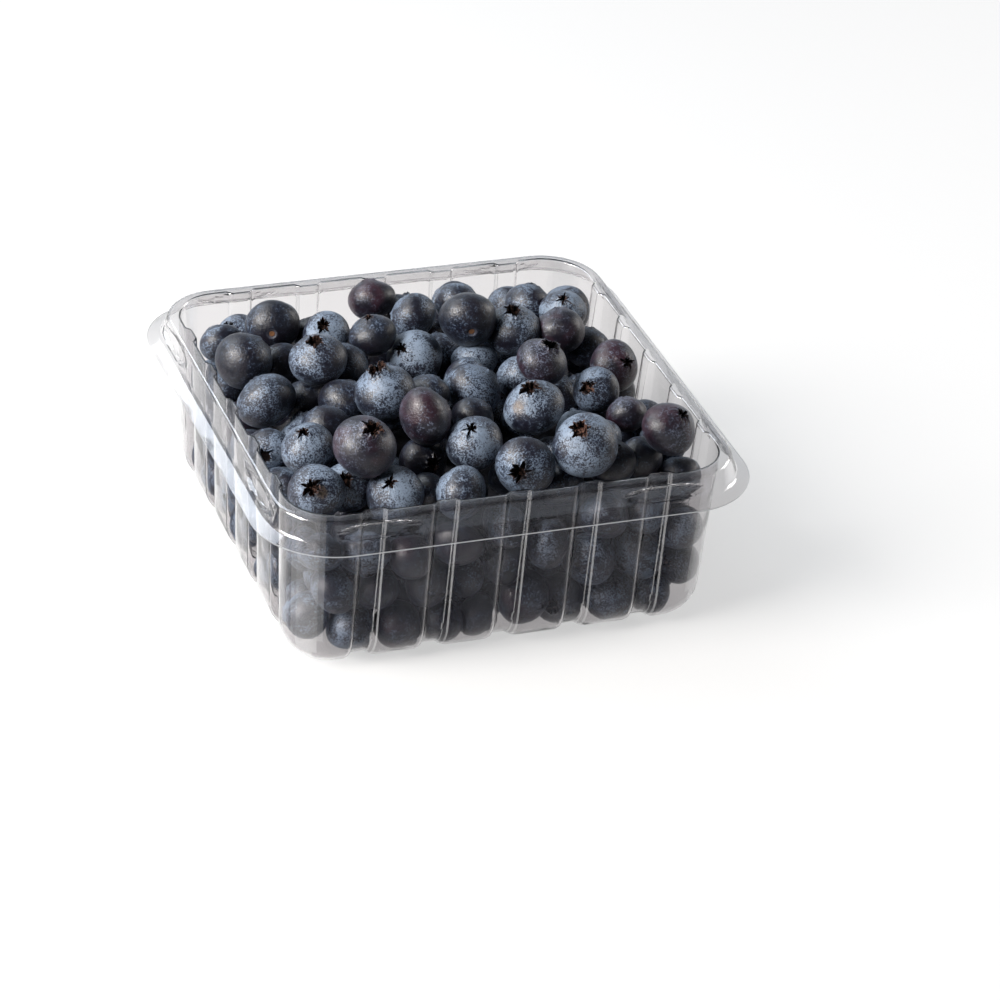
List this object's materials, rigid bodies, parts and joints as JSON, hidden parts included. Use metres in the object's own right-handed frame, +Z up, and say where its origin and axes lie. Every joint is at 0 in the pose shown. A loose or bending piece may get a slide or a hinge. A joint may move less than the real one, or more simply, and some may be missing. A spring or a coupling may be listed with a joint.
{
  "type": "punnet of blueberries",
  "caption": "Clear square ribbed tray with a stepped, flanged rim, filled with a rounded heap of loose blueberries that stands above the rim.",
  "frame": {"origin": "under the middle of the tray, on the surface that it stands on", "axes": "+Z up; +X and +Y along the tray's sides, with the -Y side the front"},
  "size_m": [0.1306, 0.1306, 0.0625],
  "materials": {
    "clear_plastic": "thin clear formed plastic sheet, glossy, faintly grey at its edges",
    "berry_skin": "dark blue berry skin under a patchy, pale blue-grey waxy bloom, with brown-black star crowns"
  },
  "bodies": {
    "root": {"tray": "clear_plastic", "berry_heap": "berry_skin"}
  },
  "joints": []
}
